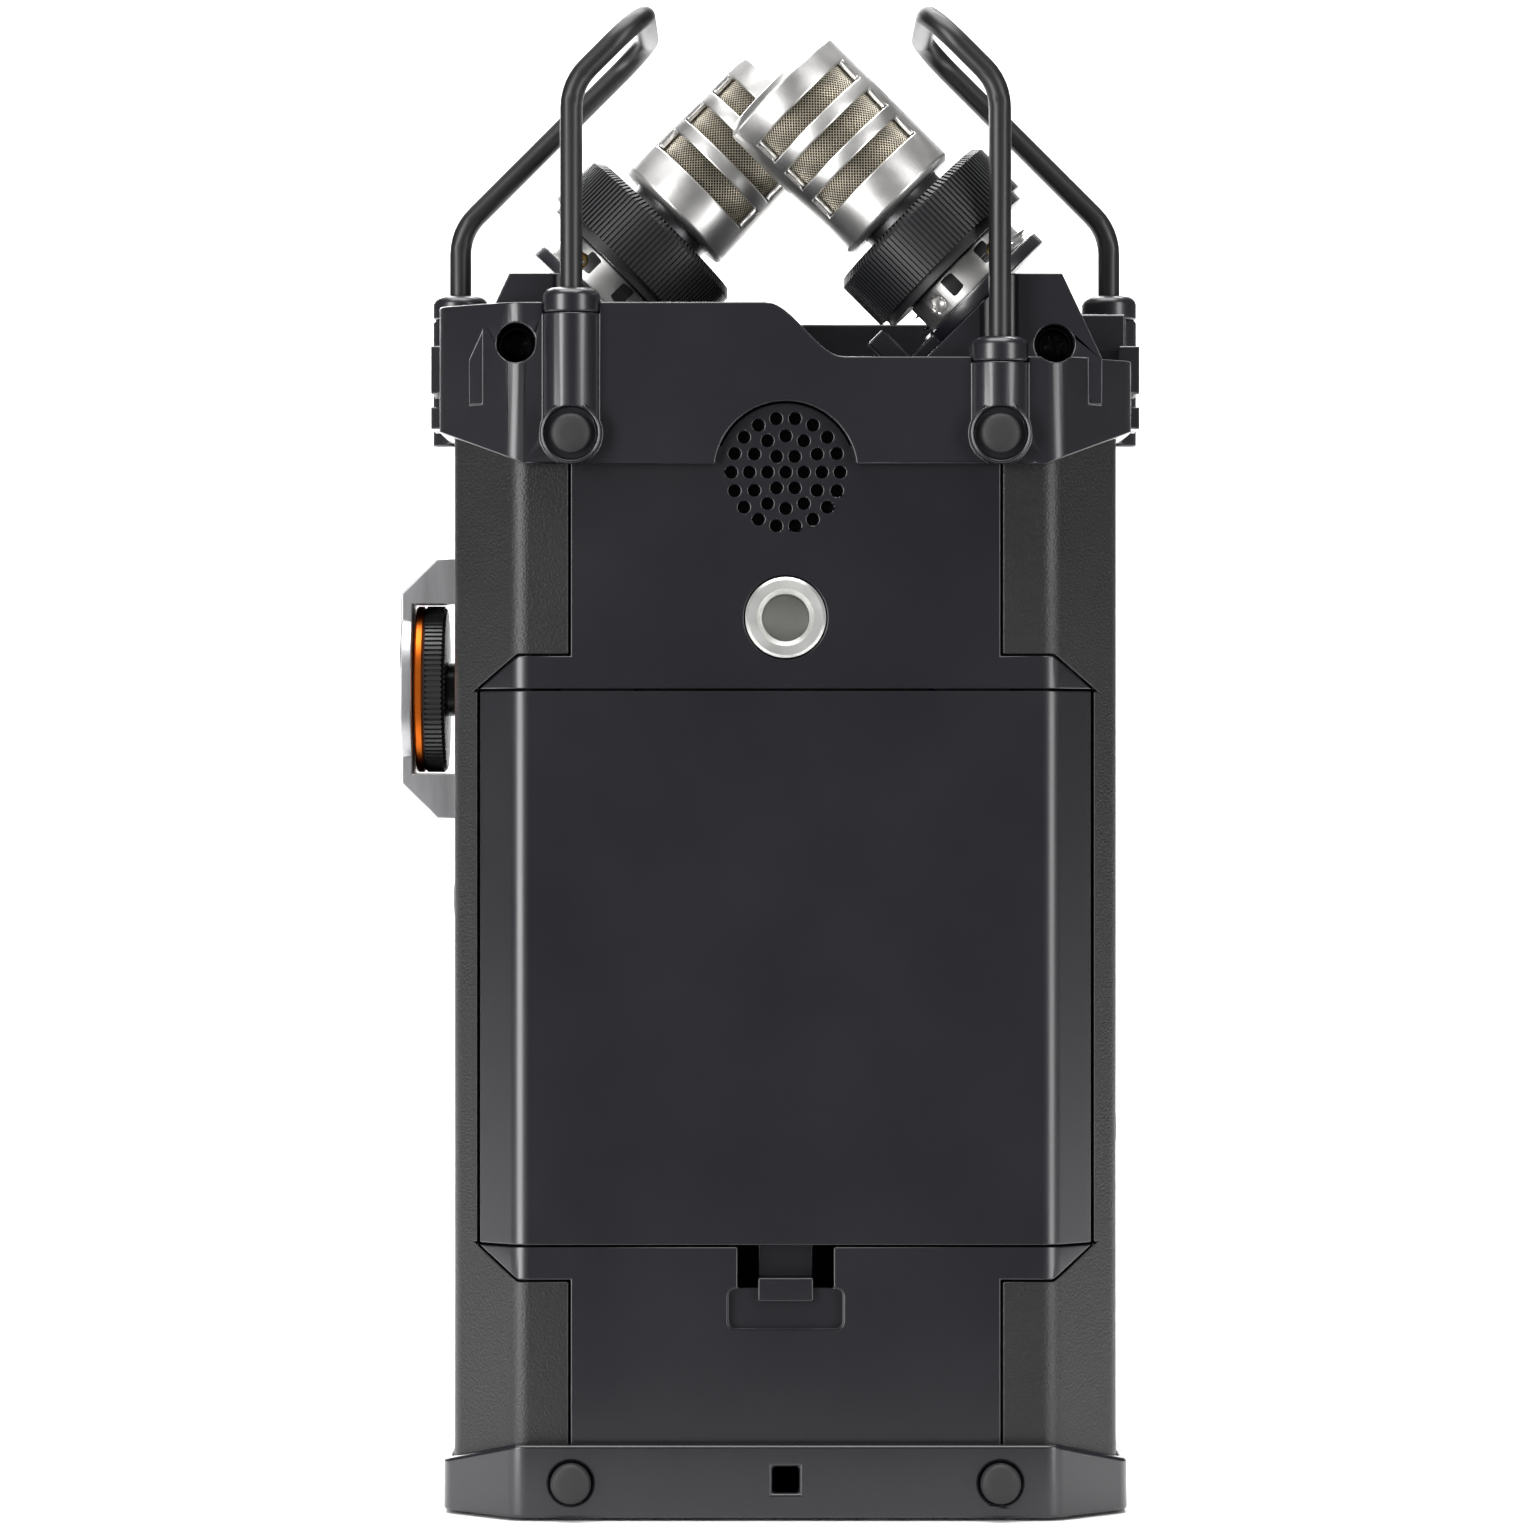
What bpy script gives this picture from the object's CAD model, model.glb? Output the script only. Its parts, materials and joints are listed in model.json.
import json
import math

import bpy
from mathutils import Matrix, Vector


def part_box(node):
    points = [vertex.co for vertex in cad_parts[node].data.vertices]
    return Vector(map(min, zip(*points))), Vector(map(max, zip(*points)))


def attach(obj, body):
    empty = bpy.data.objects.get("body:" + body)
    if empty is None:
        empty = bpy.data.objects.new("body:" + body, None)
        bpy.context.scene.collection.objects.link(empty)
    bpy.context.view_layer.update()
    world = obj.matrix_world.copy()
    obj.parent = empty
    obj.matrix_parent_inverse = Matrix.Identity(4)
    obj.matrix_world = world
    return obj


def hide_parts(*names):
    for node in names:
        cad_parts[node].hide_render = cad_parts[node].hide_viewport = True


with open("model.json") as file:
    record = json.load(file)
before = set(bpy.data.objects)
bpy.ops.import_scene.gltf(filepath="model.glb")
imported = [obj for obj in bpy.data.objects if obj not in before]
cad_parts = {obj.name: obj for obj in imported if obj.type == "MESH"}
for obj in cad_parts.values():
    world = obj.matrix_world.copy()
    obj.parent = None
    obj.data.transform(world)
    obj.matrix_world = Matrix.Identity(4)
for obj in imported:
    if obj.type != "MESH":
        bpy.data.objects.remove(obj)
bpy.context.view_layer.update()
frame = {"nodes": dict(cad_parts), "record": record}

# ---------------------------------------------------------------- camera, lights and sweep
# The recorder stands on a plain white paper sweep and is seen square from behind, 0.7 m away.
# Tall soft boxes on both sides of the camera light the slanted corners; the left one is the brighter,
# and draws a bright line down the case's edge.
MM = 0.001
RECORD = frame["record"]
LEFT, RIGHT = -1, 1
BACKWARD, FORWARD, SIDEWAYS = (0, 1, 0), (0, -1, 0), (1, 0, 0)
LENS, SENSOR = 155, 36
VIEW_DISTANCE, EYE_HEIGHT, EYE_SIDE = 0.7, 80.1 * MM, 2.3 * MM
ROOM_LIGHT = 0.12
FLOOR_DROP = 0.3 * MM
PAPER_SIZE, PAPER_SCALE, PAPER_MIDDLE = 4, (0.35, 0.45, 1), (0, -1.5, 0)
PAPER_HEIGHT, PAPER_BEND = 2.4, 0.7
scene = bpy.context.scene
scene.view_settings.view_transform = "Standard"

camera_data = bpy.data.cameras.new("camera")
camera_data.lens, camera_data.sensor_width = LENS, SENSOR
camera = bpy.data.objects.new("camera", camera_data)
camera.location = (EYE_SIDE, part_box("battery_cover")[1][1] + VIEW_DISTANCE, EYE_HEIGHT)
camera.rotation_euler = (math.pi / 2, 0, math.pi)
scene.collection.objects.link(camera)
scene.camera = camera


def soft_box(name, place, aim, width, height, power):
    data = bpy.data.lights.new(name, "AREA")
    data.shape = "RECTANGLE"
    data.size, data.size_y, data.energy = width, height, power
    light = bpy.data.objects.new(name, data)
    light.location = place
    light.rotation_euler = (Vector(aim) - Vector(place)).to_track_quat("-Z", "Y").to_euler()
    scene.collection.objects.link(light)


MIDDLE = (0, 0, 80 * MM)
soft_box("box_left", (0.62, 0.66, 0.12), MIDDLE, 0.34, 0.9, 11)
soft_box("box_right", (-0.60, 0.60, 0.12), MIDDLE, 0.28, 0.9, 6)
soft_box("box_top", (0.05, 0.2, 1.0), MIDDLE, 0.9, 0.6, 13)
soft_box("box_front", (0.2, -0.75, 0.45), MIDDLE, 0.5, 0.5, 6)
soft_box("box_paper", (0, -0.55, 1.15), (0, -1.5, 0.1), 1.0, 0.5, 40)

world = bpy.data.worlds.new("pale_room")
world.use_nodes = True
room = world.node_tree.nodes["Background"]
room.inputs["Color"].default_value = (1, 1, 1, 1)
room.inputs["Strength"].default_value = ROOM_LIGHT
scene.world = world


def linear(hex_colour):
    """An sRGB hex colour as the linear colour that a shader takes."""
    parts = [int(hex_colour[i:i + 2], 16) / 255 for i in (1, 3, 5)]
    return tuple(c / 12.92 if c <= 0.04045 else ((c + 0.055) / 1.055) ** 2.4 for c in parts) + (1,)


def add_node(tree, kind, settings=(), links=()):
    """Adds a node, sets its attributes and inputs, and links sockets of other nodes into it."""
    node = tree.nodes.new("ShaderNode" + kind)
    for name, value in dict(settings).items():
        if hasattr(node, str(name)):
            setattr(node, name, value)
        else:
            node.inputs[name].default_value = value
    for name, socket in dict(links).items():
        tree.links.new(socket, node.inputs[name])
    return node


def new_material(name, scale=(1, 1, 1)):
    """A bare node material, with object coordinates in millimetres, stretched by a scale."""
    material = bpy.data.materials.new(name)
    material.use_nodes = True
    tree = material.node_tree
    tree.nodes.clear()
    place = add_node(tree, "TexCoord")
    in_mm = add_node(tree, "Mapping", {"Scale": [s / MM for s in scale]},
                     {"Vector": place.outputs["Object"]})
    return material, tree, in_mm.outputs["Vector"]


COLOUR_A, COLOUR_B, COLOUR_OUT = 6, 7, 2


def blend(tree, factor, first, second):
    """A blend of two linear colours; a Mix node's colour sockets are known by their numbers."""
    mix = add_node(tree, "Mix", {"data_type": "RGBA"}, {"Factor": factor})
    mix.inputs[COLOUR_A].default_value = first
    mix.inputs[COLOUR_B].default_value = second
    return mix.outputs[COLOUR_OUT]


def two_tone(tree, factor, colour, spread):
    """A colour that swings darker and lighter by a share of itself."""
    dark, light = ([c * share for c in linear(colour)[:3]] + [1] for share in (1 - spread, 1 + spread))
    return blend(tree, factor, dark, light)


def surface(tree, settings, links):
    """The principled shader and the output that end every material."""
    shader = add_node(tree, "BsdfPrincipled", settings, links)
    add_node(tree, "OutputMaterial", {}, {"Surface": shader.outputs["BSDF"]})


def white_paper():
    material, tree, mm = new_material("white_paper")
    fibre = add_node(tree, "TexNoise", {"Scale": 0.02, "Detail": 4}, {"Vector": mm})
    surface(tree, {"Roughness": 0.9}, {"Base Color": two_tone(tree, fibre.outputs["Fac"], "#f6f6f6", 0.02)})
    return material


bpy.ops.object.select_all(action="DESELECT")
bpy.ops.mesh.primitive_plane_add(size=PAPER_SIZE, location=(0, 0, -FLOOR_DROP))
bpy.ops.object.mode_set(mode="EDIT")
bpy.ops.transform.resize(value=PAPER_SCALE, center_override=PAPER_MIDDLE)
bpy.ops.mesh.select_all(action="DESELECT")
bpy.ops.object.mode_set(mode="OBJECT")
sweep = bpy.context.object
sweep.name = "paper_sweep"
for edge in sweep.data.edges:
    edge.select = all(sweep.data.vertices[v].co.y < 0 for v in edge.vertices)
bpy.ops.object.mode_set(mode="EDIT")
bpy.ops.mesh.select_mode(type="EDGE")
bpy.ops.mesh.extrude_region_move(TRANSFORM_OT_translate={"value": (0, 0, PAPER_HEIGHT)})
bpy.ops.mesh.select_all(action="SELECT")
bpy.ops.mesh.bevel(offset=PAPER_BEND, segments=16, affect="EDGES")
bpy.ops.object.mode_set(mode="OBJECT")
bpy.ops.object.shade_smooth_by_angle(angle=math.radians(30))
sweep.data.materials.append(white_paper())

# ---------------------------------------------------------------- case
# One injection-moulded ABS shell with a spark-eroded grain on its sides and slanted corners.
# Smooth satin-painted panels are let into its back and front, each with an open seam all round.


def body_of(node):
    bodies = RECORD["behaviour"]["bodies"]
    return next(body for body in bodies if node in bodies[body])


def pick(piece):
    """Makes a piece the active one, and the only one selected."""
    bpy.ops.object.select_all(action="DESELECT")
    piece.select_set(True)
    bpy.context.view_layer.objects.active = piece


def hand_over(piece, material, node, angle=35, stands_for=True):
    """Finishes a piece: place applied, smooth shading, material, body, slot and the node it stands for."""
    pick(piece)
    bpy.ops.object.transform_apply(location=True, rotation=True, scale=True)
    bpy.ops.object.shade_smooth_by_angle(angle=math.radians(angle))
    piece.data.materials.clear()
    piece.data.materials.append(material)
    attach(piece, body_of(node))
    if stands_for:
        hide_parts(node)
    return piece


def use_modifier(piece, kind, **settings):
    """Adds a modifier, sets it and applies it."""
    modifier = piece.modifiers.new(kind.lower(), kind)
    for name, value in settings.items():
        setattr(modifier, name, value)
    bpy.context.view_layer.objects.active = piece
    bpy.ops.object.modifier_apply(modifier=modifier.name)


WELD, FLAT_WITHIN = 0.002, 0.8


def dress(node, material, edge=0.2, angle=32, steps=2, join=True):
    """Stands a copy of a CAD node in its place, with its triangles joined and its edges rounded."""
    piece = frame["nodes"][node].copy()
    piece.data = piece.data.copy()
    piece.name = node + "_skin"
    scene.collection.objects.link(piece)
    pick(piece)
    bpy.ops.object.mode_set(mode="EDIT")
    bpy.ops.mesh.select_all(action="SELECT")
    bpy.ops.mesh.remove_doubles(threshold=WELD * MM)
    if join:
        bpy.ops.mesh.dissolve_limited(angle_limit=math.radians(FLAT_WITHIN))
    bpy.ops.object.mode_set(mode="OBJECT")
    if edge:
        use_modifier(piece, "BEVEL", width=edge * MM, segments=steps, limit_method="ANGLE",
                     angle_limit=math.radians(angle), use_clamp_overlap=False)
    hand_over(piece, material, node, angle)
    use_modifier(piece, "WEIGHTED_NORMAL", weight=100, keep_sharp=True)
    return piece


def moulded(name, colour, roughness, grain, depth, spread=0.12, coat=0.0):
    """ABS with a moulded or painted skin: grain size and depth in mm, and slight clouds of gloss."""
    material, tree, mm = new_material(name)
    fine = add_node(tree, "TexNoise", {"Scale": 1 / grain, "Detail": 3}, {"Vector": mm})
    cloud = add_node(tree, "TexNoise", {"Scale": 0.07, "Detail": 3}, {"Vector": mm})
    gloss = add_node(tree, "MapRange", {"To Min": roughness - 0.06, "To Max": roughness + 0.06},
                     {"Value": cloud.outputs["Fac"]})
    bump = add_node(tree, "Bump", {"Distance": depth * MM}, {"Height": fine.outputs["Fac"]})
    surface(tree, {"IOR": 1.5, "Coat Weight": coat, "Coat Roughness": 0.2},
            {"Base Color": two_tone(tree, fine.outputs["Fac"], colour, spread),
             "Roughness": gloss.outputs["Result"], "Normal": bump.outputs["Normal"]})
    return material


grained_abs = moulded("grained_abs", "#0c0c0d", 0.44, 0.26, 0.06, spread=0.45)
satin_paint = moulded("satin_paint", "#0f0e14", 0.34, 0.2, 0.0015, coat=0.3)
dress("side_shell", grained_abs, 0.2)
for node in ("upper_back", "lower_back", "battery_cover", "battery_latch", "front_panel"):
    dress(node, satin_paint, 0.18)

# ---------------------------------------------------------------- head and base
# Two moulded caps in the same satin paint close the case: the head carries guards and microphones,
# the base its sockets and the strap hole. Most of their edges are rounder than those of the back panels.
head_paint = moulded("head_paint", "#121117", 0.34, 0.2, 0.0015, coat=0.3)
dress("head_cap", head_paint, 0.2, steps=3, join=False)
dress("head_front", head_paint, 0.3, steps=3, join=False)
dress("base_cap", head_paint, 0.4, steps=3)
dress("guard_collars", head_paint, 0.35, steps=3)

# ---------------------------------------------------------------- feet, screws, bush and speaker
# Four soft rubber feet sit in moulded rings on the back, and two black recessed screws hold the head.
# The tripod bush is a turned, nickel-plated steel insert; behind the grille lies the speaker's cone.


def centre(node):
    low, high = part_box(node)
    return (Vector(low) + Vector(high)) / 2


def facing(place, axis):
    """A frame at a place, its Z along an axis and its Y as near as can be to the recorder's up."""
    z = Vector(axis).normalized()
    x = Vector((0, 0, 1)).cross(z).normalized()
    turn = Matrix((x, z.cross(x), z)).transposed().to_4x4()
    return Matrix.Translation(place) @ turn


def select_faces(piece, test):
    """Leaves exactly the faces that pass a test selected, in edit mode."""
    bpy.ops.object.mode_set(mode="EDIT")
    bpy.ops.mesh.select_mode(type="FACE")
    bpy.ops.mesh.select_all(action="DESELECT")
    bpy.ops.object.mode_set(mode="OBJECT")
    for face in piece.data.polygons:
        face.select = test(face)
    bpy.ops.object.mode_set(mode="EDIT")


def turned(name, profile, place, sides=64):
    """A lathe piece: rings of (radius, height) in mm, extruded one after another; closed if they return."""
    closed = profile[0] == profile[-1]
    radius, height = profile[0]
    bpy.ops.object.select_all(action="DESELECT")
    bpy.ops.mesh.primitive_circle_add(vertices=sides, radius=radius * MM, location=(0, 0, height * MM),
                                      fill_type="NOTHING" if closed else "NGON")
    piece = bpy.context.object
    piece.name = name
    bpy.ops.object.mode_set(mode="EDIT")
    bpy.ops.mesh.select_mode(type="VERT")
    bpy.ops.mesh.select_all(action="SELECT")
    for new_radius, new_height in profile[1:]:
        bpy.ops.mesh.extrude_region_move(TRANSFORM_OT_translate={"value": (0, 0, (new_height - height) * MM)})
        grow = new_radius / radius
        bpy.ops.transform.resize(value=(grow, grow, 1), center_override=(0, 0, 0))
        radius, height = new_radius, new_height
    bpy.ops.mesh.select_all(action="SELECT")
    if closed:
        bpy.ops.mesh.remove_doubles(threshold=WELD / 2 * MM)
    bpy.ops.mesh.normals_make_consistent(inside=False)
    bpy.ops.object.mode_set(mode="OBJECT")
    bpy.ops.object.transform_apply(location=True)
    piece.matrix_world = place
    return piece


def block(name, size, place, edge=0.1):
    """A small moulded or folded block, sizes in mm, its edges rounded."""
    bpy.ops.object.select_all(action="DESELECT")
    bpy.ops.mesh.primitive_cube_add(size=MM)
    piece = bpy.context.object
    piece.name = name
    bpy.ops.object.mode_set(mode="EDIT")
    bpy.ops.transform.resize(value=size, center_override=(0, 0, 0))
    bpy.ops.mesh.bevel(offset=edge * MM, segments=2, affect="EDGES")
    bpy.ops.object.mode_set(mode="OBJECT")
    piece.matrix_world = place
    return piece


def cross_screw(name, place, radius, material, node, stands_for=True):
    """A pan-head screw along its frame's Z with a cross recess; its top is at the frame's origin."""
    head = turned(name, [(radius * 0.95, -1.2), (radius, -0.6), (radius * 0.93, -0.2), (radius * 0.7, 0),
                         (radius * 0.2, 0.02)], place, 32)
    for turn in (0, 90):
        cutter = block("recess", (radius * 1.25, radius * 0.3, 1.1),
                       place @ Matrix.Rotation(math.radians(turn + 20), 4, "Z"), 0.04)
        use_modifier(head, "BOOLEAN", operation="DIFFERENCE", object=cutter, solver="EXACT")
        bpy.data.objects.remove(cutter)
    return hand_over(head, material, node, 30, stands_for)


def metal(name, colour, roughness, stretch=(1, 1, 1), grain=0.2, depth=0.004, streak=0.1):
    """Bare or plated metal with a fine brushed or cast grain, drawn out by the stretch."""
    material, tree, mm = new_material(name, stretch)
    lines = add_node(tree, "TexNoise", {"Scale": 1 / grain, "Detail": 4}, {"Vector": mm})
    cloud = add_node(tree, "TexNoise", {"Scale": 0.35, "Detail": 4}, {"Vector": mm})
    gloss = add_node(tree, "MapRange", {"To Min": roughness - 0.08, "To Max": roughness + 0.12},
                     {"Value": cloud.outputs["Fac"]})
    bump = add_node(tree, "Bump", {"Distance": depth * MM}, {"Height": lines.outputs["Fac"]})
    surface(tree, {"Metallic": 1.0},
            {"Base Color": two_tone(tree, lines.outputs["Fac"], colour, streak),
             "Roughness": gloss.outputs["Result"], "Normal": bump.outputs["Normal"]})
    return material


foot_rubber = moulded("foot_rubber", "#141416", 0.6, 0.25, 0.006, spread=0.1)
black_zinc = metal("black_zinc", "#1b1b1d", 0.35)
plated_steel = metal("plated_steel", "#e6e6e3", 0.38, streak=0.04, depth=0.002)
paper_cone = moulded("paper_cone", "#16161a", 0.8, 0.5, 0.05)

foot_low, foot_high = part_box("feet")
FOOT_R = 2.15
FOOT_X = foot_high[0] - FOOT_R * MM
for z in (foot_low[2] + FOOT_R * MM, foot_high[2] - FOOT_R * MM):
    for side in (LEFT, RIGHT):
        place = facing((side * FOOT_X, foot_high[1], z), BACKWARD)
        foot = turned("foot", [(FOOT_R * 0.96, -2.4), (FOOT_R, -1.2), (FOOT_R, -0.55), (FOOT_R * 0.93, -0.22),
                               (FOOT_R * 0.78, -0.06), (FOOT_R * 0.45, 0)], place, 48)
        hand_over(foot, foot_rubber, "feet", 50)

screw_low, screw_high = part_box("case_screws")
SCREW_R = 1.7
for side in (LEFT, RIGHT):
    at = (side * (screw_high[0] - SCREW_R * MM), screw_high[1], (screw_low[2] + screw_high[2]) / 2)
    cross_screw("head_screw", facing(at, BACKWARD), SCREW_R, black_zinc, "case_screws")

bush_low, bush_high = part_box("tripod_bush")
BUSH_R, BORE_R, THREAD_R, PITCH = 4.3, 2.55, 3.1, 1.27
bush_deep = (bush_high[1] - bush_low[1]) / MM
profile = [(BORE_R - 0.1, 0.8 - bush_deep), (BORE_R, 0.9 - bush_deep)]
for turn in range(int((bush_deep - 1.7) / PITCH)):
    low = 0.95 - bush_deep + turn * PITCH
    profile += [(THREAD_R, low + PITCH / 2), (BORE_R, low + PITCH)]
profile += [(BORE_R, -0.6), (BORE_R + 0.5, 0), (BUSH_R - 0.3, 0), (BUSH_R, -0.3), (BUSH_R, -bush_deep)]
bush_mouth = (0, bush_high[1], (bush_low[2] + bush_high[2]) / 2)
bush = turned("tripod_bush_turned", profile, facing(bush_mouth, BACKWARD), 72)
hand_over(bush, plated_steel, "tripod_bush", 30)
dress("speaker", paper_cone, 0.1)

# ---------------------------------------------------------------- wire guards
# Each guard is one bent steel rod with a semi-matt black epoxy coat, set into two bosses of the head.
# The coat pools slightly, so its gloss varies along the rod.
black_epoxy = moulded("black_epoxy", "#0e0e10", 0.42, 0.8, 0.004)
for node in ("guard_left", "guard_right"):
    dress(node, black_epoxy, 0, 50)

# ---------------------------------------------------------------- microphones
# Two crossed condenser capsules: satin nickel housings with three rows of windows over woven steel mesh,
# each screwed on to a cast bracket by a black ring whose rim is finely ribbed for the fingers.


def mic_place(end):
    """A microphone's frame: origin in its ring's middle, Z out along the housing, Y backwards."""
    ring, housing = centre("mic_ring_" + end), centre("mic_housing_" + end)
    z = (housing - ring).normalized()
    y = Vector(BACKWARD)
    turn = Matrix((y.cross(z), y, z)).transposed().to_4x4()
    return Matrix.Translation(ring) @ turn


def ribbed(piece, ribs, radius, depth, low, high):
    """Presses a groove into every second face of a turned wall, between two heights; all in mm."""
    def every_second(face):
        middle = face.center / MM
        around = math.atan2(middle.y, middle.x) / math.tau * 2 * ribs
        on_wall = abs(math.hypot(middle.x, middle.y) - radius) < 0.05 * radius and abs(face.normal.z) < 0.9
        return on_wall and low < middle.z < high and int(around + 2 * ribs) % 2 == 0

    select_faces(piece, every_second)
    bpy.ops.mesh.extrude_region_move()
    bpy.ops.transform.shrink_fatten(value=-depth * MM)
    bpy.ops.object.mode_set(mode="OBJECT")


def woven(name, radius, low, high, pitch, wire, place):
    """A tube of woven wire: a net of diamonds, each strand thickened into a wire; all in mm."""
    around = round(math.tau * radius / pitch)
    bpy.ops.object.select_all(action="DESELECT")
    bpy.ops.mesh.primitive_cylinder_add(vertices=around, radius=radius * MM, depth=(high - low) * MM,
                                        location=(0, 0, (low + high) / 2 * MM), end_fill_type="NOTHING")
    piece = bpy.context.object
    piece.name = name
    rows = round((high - low) / pitch)
    bpy.ops.object.transform_apply(location=True)
    bpy.ops.object.mode_set(mode="EDIT")
    for row in range(1, rows):
        bpy.ops.mesh.select_all(action="SELECT")
        bpy.ops.mesh.bisect(plane_co=(0, 0, (low + (high - low) * row / rows) * MM), plane_no=(0, 0, 1))
    bpy.ops.mesh.select_all(action="SELECT")
    bpy.ops.mesh.poke()
    bpy.ops.mesh.select_mode(type="EDGE")
    bpy.ops.mesh.select_all(action="DESELECT")
    bpy.ops.object.mode_set(mode="OBJECT")
    for edge in piece.data.edges:
        a, b = (piece.data.vertices[v].co for v in edge.vertices)
        edge.select = abs(a.z - b.z) < 0.01 * MM or math.hypot(a.x - b.x, a.y - b.y) < 0.01 * MM
    bpy.ops.object.mode_set(mode="EDIT")
    bpy.ops.mesh.dissolve_edges(use_verts=False)
    bpy.ops.object.mode_set(mode="OBJECT")
    use_modifier(piece, "WIREFRAME", thickness=wire * MM, use_replace=True, use_even_offset=False)
    piece.matrix_world = place
    return piece


satin_nickel = metal("satin_nickel", "#e2e1df", 0.34, grain=0.25)
dark_nickel = metal("dark_nickel", "#6f6e70", 0.34)
steel_mesh = metal("steel_mesh", "#d8d1c2", 0.4)
black_ring = moulded("black_ring", "#1a1a1c", 0.42, 0.3, 0.004, coat=0.2)
black_capsule = moulded("black_capsule", "#0d0d0e", 0.7, 0.3, 0.01)
brass = metal("brass", "#b79a5c", 0.3)

RIB_DEPTH = 0.22
RING_R, RING_L, RING_RIBS, RING_BORE_R = 10.55, 7.4, 122, 5.4
HOUSING_R, HOUSING_Z, HOUSING_L = 7.5, 1.2, 18.9
WINDOW_ROWS, WINDOW_Z, WINDOW_H, WINDOW_PITCH, WINDOW_X = 3, 3.5, 2.6, 4.2, 6.5
TAB_T, TAB_W, TAB_R = 0.42, 1.15, HOUSING_R - 0.28
MESH_R, MESH_PITCH, MESH_WIRE = HOUSING_R - 0.95, 0.42, 0.13
FELT_R = MESH_R - 0.45
CLIP_SIZE, CLIP_IN, CLIP_BELOW = (6.4, 0.9, 2.2), 4.2, 1.5
SEAT_X, SEAT_Y, SEAT_BELOW = 3.4, 6.95, 2.1
for end, side in (("left", LEFT), ("right", RIGHT)):
    place = mic_place(end)
    half = RING_L / 2
    profile = [(RING_BORE_R, -half), (RING_R - 0.8, -half), (RING_R - 0.8, 1 - half), (RING_R, 1.05 - half),
               (RING_R, half - 0.7), (RING_R - 0.7, half), (RING_BORE_R + 0.7, half),
               (RING_BORE_R, half - 0.4), (RING_BORE_R, -half)]
    ring = turned("ring_" + end, profile, Matrix.Identity(4), 2 * RING_RIBS)
    ribbed(ring, RING_RIBS, RING_R - 0.3, RIB_DEPTH, 1.1 - half, half - 0.05)
    ring.matrix_world = place
    hand_over(ring, black_ring, "mic_ring_" + end, 25)

    dress("mic_housing_" + end, satin_nickel, 0.22, 30)
    dress("mic_neck_" + end, dark_nickel, 0.2)
    dress("mic_bracket_" + end, satin_nickel, 0.3)
    dress("mic_base_" + end, head_paint, 0.3)

    front = place @ Matrix.Translation((0, 0, (half + HOUSING_Z + HOUSING_L) * MM))
    mesh = woven("mesh_" + end, MESH_R, 1.4 - HOUSING_L, -1, MESH_PITCH, MESH_WIRE, front)
    hand_over(mesh, steel_mesh, "mic_mesh_" + end, 60)
    felt = turned("felt_" + end, [(FELT_R - 0.35, 1.6 - HOUSING_L), (FELT_R, 1.8 - HOUSING_L),
                                  (FELT_R, -1.8), (FELT_R - 0.35, -1.5)], front, 48)
    hand_over(felt, black_capsule, "mic_mesh_" + end, 30, stands_for=False)
    tilt = math.acos(WINDOW_X / HOUSING_R)
    for row in range(WINDOW_ROWS):
        z = -(WINDOW_Z + WINDOW_H / 2 + row * WINDOW_PITCH)
        for corner in (tilt, math.pi - tilt, math.pi + tilt, -tilt):
            out = Matrix.Rotation(corner, 4, "Z") @ Matrix.Translation((TAB_R * MM, 0, z * MM))
            tab = block("window_tab", (TAB_T, TAB_W, WINDOW_H - 0.15), front @ out, 0.06)
            select_faces(tab, lambda face: face.normal.x > 0.9)
            bpy.ops.mesh.inset(thickness=0.26 * MM, depth=-0.16 * MM)
            bpy.ops.object.mode_set(mode="OBJECT")
            hand_over(tab, satin_nickel, "mic_housing_" + end, 30)

    behind = Matrix.Translation((0, (RING_R - CLIP_IN) * MM, (-half - CLIP_BELOW) * MM))
    clip = block("clip", CLIP_SIZE, place @ behind, 0.2)
    hand_over(clip, black_ring, "mic_ring_" + end, 30, stands_for=False)
    seat = Matrix.Translation((side * SEAT_X * MM, SEAT_Y * MM, (-half - SEAT_BELOW) * MM))
    facing_back = Matrix.Rotation(-math.pi / 2, 4, "X")
    cross_screw("clip_screw", place @ seat @ facing_back, 1.0, brass, "mic_bracket_" + end, stands_for=False)
dress("mic_elements", black_capsule, 0.15)

# ---------------------------------------------------------------- level dial
# A black wheel with ribs all round turns on a side shaft, its scale marked by an orange anodised ring.
# A folded, brushed aluminium guard arches over it and is screwed to the case above and below.
brushed_aluminium = metal("brushed_aluminium", "#b4b4b6", 0.36, (1, 1, 0.06), grain=0.12, streak=0.14)
orange_anodised = metal("orange_anodised", "#c8641e", 0.38, grain=0.3, depth=0.002, streak=0.05)
white_print = moulded("white_print", "#e8e8e6", 0.5, 0.3, 0.001, spread=0.02)

DIAL_RIBS = 96
dial_low, dial_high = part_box("level_dial")
dial_r = (dial_high[2] - dial_low[2]) / 2 / MM
dial_at = centre("level_dial")
ring_low, ring_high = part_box("dial_ring")
wheel_high = ring_low[0] / MM
WHEEL_T = 2.4
shaft_low = dial_low[0] / MM
profile = [(2.9, shaft_low), (3, wheel_high - WHEEL_T - 0.05), (dial_r - 1.2, wheel_high - WHEEL_T),
           (dial_r - 0.4, wheel_high - WHEEL_T + 0.02), (dial_r, wheel_high - WHEEL_T + 0.35),
           (dial_r, wheel_high - 0.2), (dial_r - 0.25, wheel_high)]
axis = facing((0, dial_at.y, dial_at.z), SIDEWAYS)
wheel = turned("ribbed_wheel", profile, Matrix.Identity(4), 2 * DIAL_RIBS)
ribbed(wheel, DIAL_RIBS, dial_r, RIB_DEPTH, wheel_high - WHEEL_T + 0.1, wheel_high - 0.1)
wheel.matrix_world = axis
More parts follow.
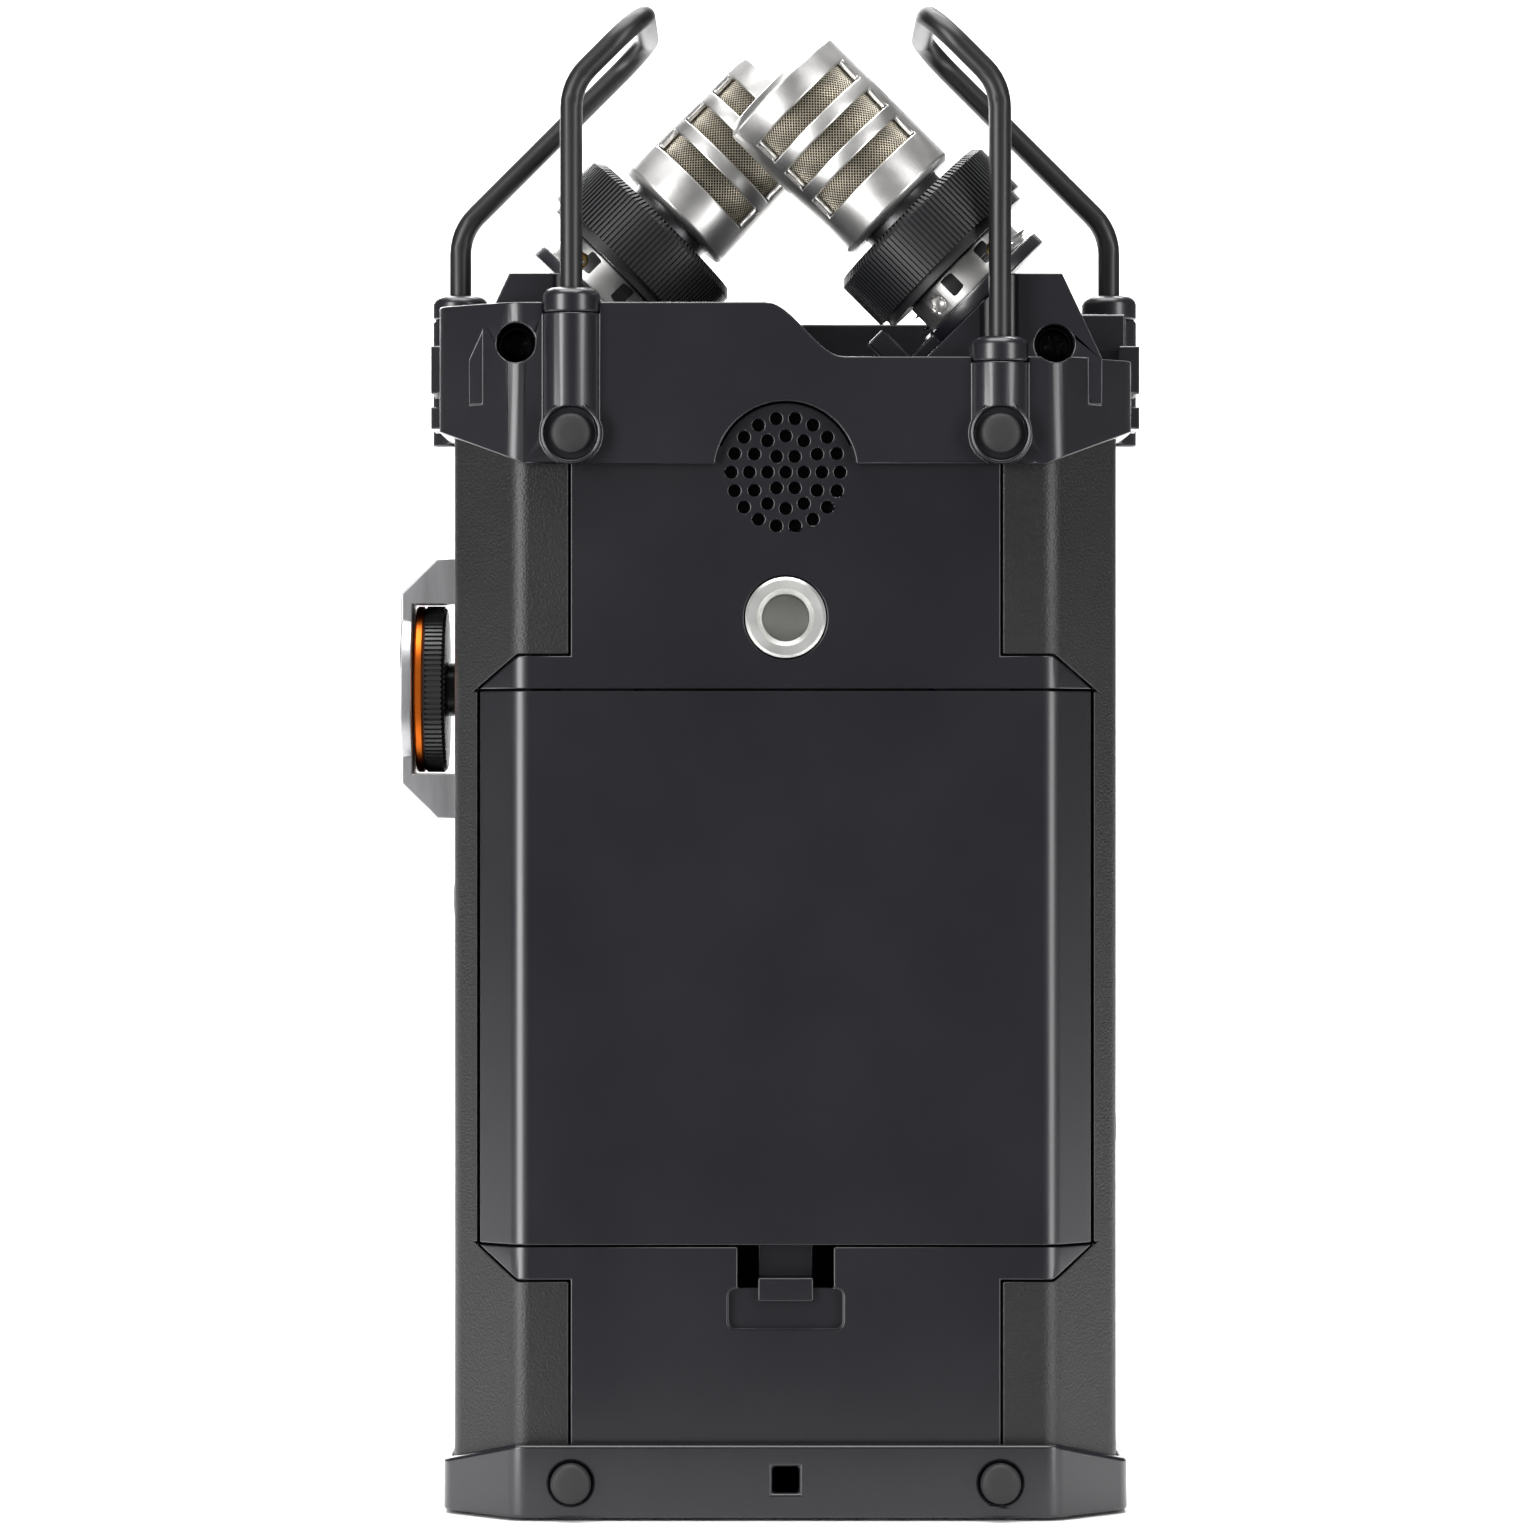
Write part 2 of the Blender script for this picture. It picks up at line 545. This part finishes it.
hand_over(wheel, black_ring, "level_dial", 25)

ring_r = (ring_high[2] - ring_low[2]) / 2 / MM
outer = ring_high[0] / MM
profile = [(ring_r - 0.25, wheel_high), (ring_r, wheel_high + 0.18), (ring_r, outer - 0.2),
           (ring_r - 0.2, outer), (ring_r - 3.2, outer), (ring_r - 3.4, outer - 0.15), (2, outer - 0.15)]
ring = turned("orange_ring", profile, axis, 96)
hand_over(ring, orange_anodised, "dial_ring", 30)
mark_place = Matrix.Translation((0, (ring_r - 1.4) * MM, (outer - 0.05) * MM))
mark = block("index_mark", (0.35, 1.5, 0.12), axis @ mark_place, 0.04)
hand_over(mark, white_print, "dial_ring", 30, stands_for=False)
dress("dial_guard", brushed_aluminium, 0.22, steps=3)

# ---------------------------------------------------------------- front
# The front carries a painted panel with the display behind a hard-coated acrylic window, moulded keys
# and a jog wheel. Every key has a printed sign of its work.
key_plastic = moulded("key_plastic", "#232326", 0.45, 0.3, 0.004)
red_key = moulded("red_key_plastic", "#a51f1a", 0.4, 0.3, 0.004)
grey_rubber = moulded("grey_rubber", "#2c2c2f", 0.65, 0.3, 0.01)
jog_metal = metal("jog_metal", "#4b4b50", 0.3, grain=0.15, depth=0.003)


BORDER_X, BORDER_Z, SIGN_T = 3.5, 3, 0.06


def acrylic_window():
    """Black printed border round a clear field, over a pale liquid-crystal cell that is switched off."""
    material, tree, mm = new_material("acrylic_window")
    low, high = (Vector(corner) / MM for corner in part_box("display_window"))
    parts = add_node(tree, "SeparateXYZ", {}, {"Vector": mm})
    inside = []
    for axis_name, a, b in (("X", low.x + BORDER_X, high.x - BORDER_X),
                            ("Z", low.z + BORDER_Z, high.z - BORDER_Z)):
        away = add_node(tree, "Math", {"operation": "SUBTRACT", 1: (a + b) / 2},
                        {0: parts.outputs[axis_name]})
        size = add_node(tree, "Math", {"operation": "ABSOLUTE"}, {0: away.outputs[0]})
        inside.append(add_node(tree, "Math", {"operation": "LESS_THAN", 1: (b - a) / 2},
                               {0: size.outputs[0]}))
    field = add_node(tree, "Math", {"operation": "MULTIPLY"},
                     {0: inside[0].outputs[0], 1: inside[1].outputs[0]})
    colour = blend(tree, field.outputs[0], linear("#0a0a0b"), linear("#262c29"))
    smear = add_node(tree, "TexNoise", {"Scale": 0.15, "Detail": 3}, {"Vector": mm})
    gloss = add_node(tree, "MapRange", {"To Min": 0.03, "To Max": 0.1}, {"Value": smear.outputs["Fac"]})
    surface(tree, {"IOR": 1.49, "Coat Weight": 0.6, "Coat Roughness": 0.04},
            {"Base Color": colour, "Roughness": gloss.outputs["Result"]})
    return material


def sign(shape, place, node, material, size=1.5):
    """A printed sign a little above a key's face: a many-sided plate, as wide as its size in mm."""
    sides, turn = {"triangle": (3, -math.pi / 2), "square": (4, math.pi / 4), "dot": (32, 0)}[shape]
    bpy.ops.object.select_all(action="DESELECT")
    bpy.ops.mesh.primitive_circle_add(vertices=sides, radius=size * MM, fill_type="NGON",
                                      rotation=(0, 0, turn))
    piece = bpy.context.object
    piece.name = node + "_sign"
    bpy.ops.object.transform_apply(rotation=True)
    bpy.ops.object.mode_set(mode="EDIT")
    bpy.ops.mesh.select_all(action="SELECT")
    bpy.ops.mesh.extrude_region_move(TRANSFORM_OT_translate={"value": (0, 0, SIGN_T * MM)})
    bpy.ops.mesh.select_all(action="SELECT")
    bpy.ops.mesh.normals_make_consistent(inside=False)
    bpy.ops.object.mode_set(mode="OBJECT")
    piece.matrix_world = place
    return hand_over(piece, material, node, 30, stands_for=False)


def key_front(node, across=0.0, up=0.0):
    """A frame on a key's front face, shifted across and up by mm; its Z looks forward."""
    at = centre(node) + Vector((-across * MM, 0, up * MM))
    return facing((at.x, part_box(node)[0][1] - 0.03 * MM, at.z), FORWARD)


dress("display_window", acrylic_window(), 0.25)
for node in ("stop_key", "rewind_key", "play_key", "forward_key", "menu_key", "mark_key", "enter_key"):
    dress(node, key_plastic, 0.35, steps=3)
dress("record_key", red_key, 0.35, steps=3)
dress("jog_wheel", jog_metal, 0.5, steps=3)
dress("key_mat", grey_rubber, 0.1)
HALF_TURN = Matrix.Rotation(math.pi, 4, "Z")
sign("square", key_front("stop_key"), "stop_key", white_print, 1.5)
sign("triangle", key_front("play_key"), "play_key", white_print, 1.5)
for shift in (-0.9, 0.9):
    sign("triangle", key_front("forward_key", shift), "forward_key", white_print, 1.1)
    sign("triangle", key_front("rewind_key", shift) @ HALF_TURN, "rewind_key", white_print, 1.1)
sign("dot", key_front("record_key"), "record_key", white_print, 1.3)
for line in (-1, 0, 1):
    bar = block("menu_sign", (3.4, 0.45, 0.1), key_front("menu_key", 0, line), 0.03)
    hand_over(bar, white_print, "menu_key", 30, stands_for=False)
sign("triangle", key_front("mark_key") @ Matrix.Rotation(-math.pi / 2, 4, "Z"), "mark_key", white_print, 1.4)
sign("dot", key_front("enter_key"), "enter_key", white_print, 0.8)

# ---------------------------------------------------------------- sides
# Hinged doors cover the card, USB and line sockets; two rocker buttons and the power switch stand a
# little proud of the grained shell.
side_plastic = moulded("side_plastic", "#1d1d1f", 0.4, 0.3, 0.01, spread=0.2)
for node in ("card_door", "usb_door", "jack_door"):
    dress(node, side_plastic, 0.3, steps=3)
for node in ("right_button", "left_button", "power_switch"):
    dress(node, key_plastic, 0.25)

# ---------------------------------------------------------------- sockets
# The two combined input sockets and the phones socket are black glass-filled nylon; the card and USB
# sockets are plated steel.
socket_nylon = moulded("socket_nylon", "#141415", 0.5, 0.4, 0.01)
for node in ("input_sockets", "phones_jack"):
    dress(node, socket_nylon, 0.25)
for node in ("card_socket", "usb_socket"):
    dress(node, plated_steel, 0.08)

# ---------------------------------------------------------------- inside
# Inside lie a green-black circuit board, the display cell, the battery tray with four cells and their
# springs, and the dial's potentiometer.
solder_mask = moulded("solder_mask", "#12301f", 0.35, 1.2, 0.02, spread=0.25)
glass_cell = moulded("glass_cell", "#6d756f", 0.15, 2, 0.0)
nickel_contact = metal("nickel_contact", "#c9c7c0", 0.3)


BAND_FROM = 0.76


def cell_jacket():
    """A shrink-wrapped cell: plain dark jacket with a pale band at its upper end, and no lettering."""
    material, tree, mm = new_material("cell_jacket")
    low, high = (Vector(corner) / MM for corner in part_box("battery_cells"))
    parts = add_node(tree, "SeparateXYZ", {}, {"Vector": mm})
    band = add_node(tree, "Math", {"operation": "GREATER_THAN", 1: low.z + BAND_FROM * (high.z - low.z)},
                    {0: parts.outputs["Z"]})
    colour = blend(tree, band.outputs[0], linear("#2b3d52"), linear("#b9b4a8"))
    wrap = add_node(tree, "TexNoise", {"Scale": 0.6, "Detail": 3}, {"Vector": mm})
    gloss = add_node(tree, "MapRange", {"To Min": 0.18, "To Max": 0.34}, {"Value": wrap.outputs["Fac"]})
    surface(tree, {"IOR": 1.5}, {"Base Color": colour, "Roughness": gloss.outputs["Result"]})
    return material


dress("battery_tray", socket_nylon, 0.12)
dress("battery_cells", cell_jacket(), 0.25)
dress("battery_contacts", nickel_contact, 0.05)
dress("main_board", solder_mask, 0.05)
dress("display_module", glass_cell, 0.1)
dress("dial_pot", nickel_contact, 0.15)
